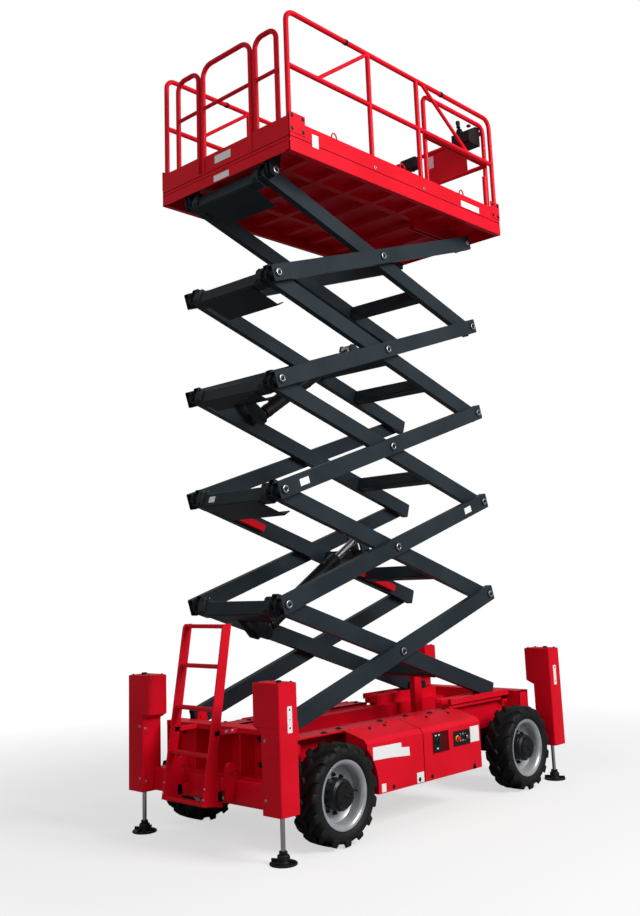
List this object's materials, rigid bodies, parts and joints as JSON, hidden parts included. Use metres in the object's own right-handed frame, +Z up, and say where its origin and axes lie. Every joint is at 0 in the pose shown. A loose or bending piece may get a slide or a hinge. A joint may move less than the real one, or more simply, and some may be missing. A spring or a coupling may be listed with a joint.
{
  "type": "scissor lift",
  "caption": "Self-propelled rough-terrain scissor lift, part raised on outrigger jacks, with guarded roll-out platform, rear ladder and steered front wheels.",
  "frame": {"origin": "on the ground, under the middle of the bounding box", "axes": "+X is the travel direction, away from the ladder; +Y is the machine's left; +Z is up"},
  "size_m": [3.871, 1.712, 6.4181],
  "materials": {
    "red_paint": "gloss powder coat, bright red",
    "arm_paint": "satin anthracite powder coat",
    "black_paint": "satin black paint",
    "rim_silver": "silver wheel enamel",
    "tyre_rubber": "moulded black tyre rubber",
    "chrome_rod": "hard chrome, ground",
    "black_plastic": "moulded black plastic"
  },
  "bodies": {
    "chassis": {"chassis_frame": "red_paint", "jack_beams": "red_paint", "jack_housings": "red_paint", "ladder": "red_paint", "rear_axle": "black_paint", "front_axle": "black_paint", "battery_packs": "black_plastic"},
    "outer_arm_1": {"outer_arm_1": "arm_paint"},
    "inner_arm_1": {"inner_arm_1": "arm_paint"},
    "outer_arm_2": {"outer_arm_2": "arm_paint"},
    "inner_arm_2": {"inner_arm_2": "arm_paint"},
    "outer_arm_3": {"outer_arm_3": "arm_paint"},
    "inner_arm_3": {"inner_arm_3": "arm_paint"},
    "outer_arm_4": {"outer_arm_4": "arm_paint"},
    "inner_arm_4": {"inner_arm_4": "arm_paint"},
    "outer_arm_5": {"outer_arm_5": "arm_paint"},
    "inner_arm_5": {"inner_arm_5": "arm_paint"},
    "slide_blocks_lower": {"slide_blocks_lower": "black_plastic"},
    "slide_blocks_upper": {"slide_blocks_upper": "black_plastic"},
    "platform": {"platform_deck": "red_paint", "guard_rail_left": "red_paint", "guard_rail_right": "red_paint", "guard_rail_rear": "red_paint"},
    "lower_barrel": {"lower_cylinder_barrel": "black_paint"},
    "lower_rod": {"lower_cylinder_rod": "chrome_rod"},
    "upper_barrel": {"upper_cylinder_barrel": "black_paint"},
    "upper_rod": {"upper_cylinder_rod": "chrome_rod"},
    "knuckle_left": {"knuckle_left": "black_paint"},
    "knuckle_right": {"knuckle_right": "black_paint"},
    "wheel_rear_left": {"tyre_rear_left": "tyre_rubber", "rim_rear_left": "rim_silver", "hub_rear_left": "black_paint"},
    "wheel_rear_right": {"tyre_rear_right": "tyre_rubber", "rim_rear_right": "rim_silver", "hub_rear_right": "black_paint"},
    "wheel_front_left": {"tyre_front_left": "tyre_rubber", "rim_front_left": "rim_silver", "hub_front_left": "black_paint"},
    "wheel_front_right": {"tyre_front_right": "tyre_rubber", "rim_front_right": "rim_silver", "hub_front_right": "black_paint"},
    "jack_leg_rear_left": {"jack_leg_rear_left": "chrome_rod"},
    "jack_leg_rear_right": {"jack_leg_rear_right": "chrome_rod"},
    "jack_leg_front_left": {"jack_leg_front_left": "chrome_rod"},
    "jack_leg_front_right": {"jack_leg_front_right": "chrome_rod"},
    "cover_rear_left": {"cover_rear_left": "red_paint"},
    "cover_rear_right": {"cover_rear_right": "red_paint"},
    "cover_front_left": {"cover_front_left": "red_paint"},
    "cover_front_right": {"cover_front_right": "red_paint", "ground_controls": "black_plastic"},
    "gate": {"entry_gate": "red_paint"},
    "roll_out_deck": {"extension_deck": "red_paint", "platform_controls": "black_plastic"}
  },
  "joints": [
    {"name": "lift", "type": "hinge", "parent": "chassis", "child": "outer_arm_1", "pos_m": [-1.34, 0, 0.8414], "axis": [0, -1, 0], "range_deg": [-14.44, 22.16]},
    {"name": "cross_pivot_1", "type": "hinge", "parent": "outer_arm_1", "child": "inner_arm_1", "pos_m": [-0.01231, 0, 1.26867], "axis": [0, -1, 0], "range_deg": [-44.32, 28.88]},
    {"name": "end_pivot_1", "type": "hinge", "parent": "inner_arm_1", "child": "outer_arm_2", "pos_m": [-1.34, 0, 1.69595], "axis": [0, -1, 0], "range_deg": [-28.88, 44.32]},
    {"name": "cross_pivot_2", "type": "hinge", "parent": "outer_arm_2", "child": "inner_arm_2", "pos_m": [-0.01231, 0, 2.12322], "axis": [0, -1, 0], "range_deg": [-44.32, 28.88]},
    {"name": "end_pivot_2", "type": "hinge", "parent": "inner_arm_2", "child": "outer_arm_3", "pos_m": [-1.34, 0, 2.55049], "axis": [0, -1, 0], "range_deg": [-28.88, 44.32]},
    {"name": "cross_pivot_3", "type": "hinge", "parent": "outer_arm_3", "child": "inner_arm_3", "pos_m": [-0.01231, 0, 2.97776], "axis": [0, -1, 0], "range_deg": [-44.32, 28.88]},
    {"name": "end_pivot_3", "type": "hinge", "parent": "inner_arm_3", "child": "outer_arm_4", "pos_m": [-1.34, 0, 3.40503], "axis": [0, -1, 0], "range_deg": [-28.88, 44.32]},
    {"name": "cross_pivot_4", "type": "hinge", "parent": "outer_arm_4", "child": "inner_arm_4", "pos_m": [-0.01231, 0, 3.83231], "axis": [0, -1, 0], "range_deg": [-44.32, 28.88]},
    {"name": "end_pivot_4", "type": "hinge", "parent": "inner_arm_4", "child": "outer_arm_5", "pos_m": [-1.34, 0, 4.25958], "axis": [0, -1, 0], "range_deg": [-28.88, 44.32]},
    {"name": "cross_pivot_5", "type": "hinge", "parent": "outer_arm_5", "child": "inner_arm_5", "pos_m": [-0.01231, 0, 4.68685], "axis": [0, -1, 0], "range_deg": [-44.32, 28.88]},
    {"name": "platform_pivot", "type": "hinge", "parent": "inner_arm_5", "child": "platform", "pos_m": [-1.34, 0, 5.11412], "axis": [0, -1, 0], "range_deg": [-14.44, 22.16]},
    {"name": "lower_slide_pivot", "type": "hinge", "parent": "inner_arm_1", "child": "slide_blocks_lower", "pos_m": [1.31538, 0, 0.8414], "axis": [0, -1, 0], "range_deg": [-14.44, 22.16]},
    {"name": "upper_slide_pivot", "type": "hinge", "parent": "outer_arm_5", "child": "slide_blocks_upper", "pos_m": [1.31538, 0, 5.11412], "axis": [0, -1, 0], "range_deg": [-22.16, 14.44]},
    {"name": "lower_cylinder_foot", "type": "hinge", "parent": "inner_arm_1", "child": "lower_barrel", "pos_m": [-1.09925, 0, 1.4819], "axis": [0, -1, 0], "range_deg": [-27.19, 41.73]},
    {"name": "lower_cylinder_stroke", "type": "slide", "parent": "lower_barrel", "child": "lower_rod", "axis": [0.8456, 0, 0.5338], "range_m": [-0.1664, 0.2551]},
    {"name": "upper_cylinder_foot", "type": "hinge", "parent": "inner_arm_3", "child": "upper_barrel", "pos_m": [-1.09925, 0, 3.19099], "axis": [0, -1, 0], "range_deg": [-27.19, 41.73]},
    {"name": "upper_cylinder_stroke", "type": "slide", "parent": "upper_barrel", "child": "upper_rod", "axis": [0.8456, 0, 0.5338], "range_m": [-0.1664, 0.2551]},
    {"name": "steering_left", "type": "hinge", "parent": "chassis", "child": "knuckle_left", "pos_m": [1.3125, 0.57, 0.354], "axis": [0, 0, 1], "range_deg": [-30, 30]},
    {"name": "steering_right", "type": "hinge", "parent": "chassis", "child": "knuckle_right", "pos_m": [1.3125, -0.57, 0.354], "axis": [0, 0, 1], "range_deg": [-30, 30]},
    {"name": "wheel_rear_left_spin", "type": "hinge", "parent": "chassis", "child": "wheel_rear_left", "pos_m": [-1.1185, 0.725, 0.354], "axis": [0, 1, 0], "continuous": true},
    {"name": "wheel_rear_right_spin", "type": "hinge", "parent": "chassis", "child": "wheel_rear_right", "pos_m": [-1.1185, -0.725, 0.354], "axis": [0, 1, 0], "continuous": true},
    {"name": "wheel_front_left_spin", "type": "hinge", "parent": "knuckle_left", "child": "wheel_front_left", "pos_m": [1.3125, 0.725, 0.354], "axis": [0, 1, 0], "continuous": true},
    {"name": "wheel_front_right_spin", "type": "hinge", "parent": "knuckle_right", "child": "wheel_front_right", "pos_m": [1.3125, -0.725, 0.354], "axis": [0, 1, 0], "continuous": true},
    {"name": "jack_rear_left", "type": "slide", "parent": "chassis", "child": "jack_leg_rear_left", "axis": [0, 0, 1], "range_m": [-0.1, 0.2]},
    {"name": "jack_rear_right", "type": "slide", "parent": "chassis", "child": "jack_leg_rear_right", "axis": [0, 0, 1], "range_m": [-0.1, 0.2]},
    {"name": "jack_front_left", "type": "slide", "parent": "chassis", "child": "jack_leg_front_left", "axis": [0, 0, 1], "range_m": [-0.1, 0.2]},
    {"name": "jack_front_right", "type": "slide", "parent": "chassis", "child": "jack_leg_front_right", "axis": [0, 0, 1], "range_m": [-0.1, 0.2]},
    {"name": "cover_hinge_rear_left", "type": "hinge", "parent": "chassis", "child": "cover_rear_left", "pos_m": [-0.5105, 0.6, 0.745], "axis": [1, 0, 0], "range_deg": [0, 70]},
    {"name": "cover_hinge_rear_right", "type": "hinge", "parent": "chassis", "child": "cover_rear_right", "pos_m": [-0.5105, -0.6, 0.745], "axis": [-1, 0, 0], "range_deg": [0, 70]},
    {"name": "cover_hinge_front_left", "type": "hinge", "parent": "chassis", "child": "cover_front_left", "pos_m": [0.217, 0.6, 0.745], "axis": [1, 0, 0], "range_deg": [0, 70]},
    {"name": "cover_hinge_front_right", "type": "hinge", "parent": "chassis", "child": "cover_front_right", "pos_m": [0.217, -0.6, 0.745], "axis": [-1, 0, 0], "range_deg": [0, 70]},
    {"name": "gate_hinge", "type": "hinge", "parent": "platform", "child": "gate", "pos_m": [-1.396, 0.294, 5.80012], "axis": [0, 0, 1], "range_deg": [0, 90]},
    {"name": "deck_extension", "type": "slide", "parent": "platform", "child": "roll_out_deck", "axis": [1, 0, 0], "range_m": [0, 0.9]}
  ],
  "couplings": [
    {"joint": "cross_pivot_1", "follows": "lift", "ratio": -2},
    {"joint": "end_pivot_1", "follows": "lift", "ratio": 2},
    {"joint": "cross_pivot_2", "follows": "lift", "ratio": -2},
    {"joint": "end_pivot_2", "follows": "lift", "ratio": 2},
    {"joint": "cross_pivot_3", "follows": "lift", "ratio": -2},
    {"joint": "end_pivot_3", "follows": "lift", "ratio": 2},
    {"joint": "cross_pivot_4", "follows": "lift", "ratio": -2},
    {"joint": "end_pivot_4", "follows": "lift", "ratio": 2},
    {"joint": "cross_pivot_5", "follows": "lift", "ratio": -2},
    {"joint": "platform_pivot", "follows": "lift", "ratio": 1},
    {"joint": "lower_slide_pivot", "follows": "lift", "ratio": 1},
    {"joint": "upper_slide_pivot", "follows": "lift", "ratio": -1},
    {"joint": "lower_cylinder_foot", "follows": "lift", "ratio": 1.883},
    {"joint": "lower_cylinder_stroke", "follows": "lift", "m_per_rad": 0.65815},
    {"joint": "upper_cylinder_foot", "follows": "lift", "ratio": 1.883},
    {"joint": "upper_cylinder_stroke", "follows": "lift", "m_per_rad": 0.65815},
    {"joint": "steering_right", "follows": "steering_left", "ratio": 1}
  ]
}
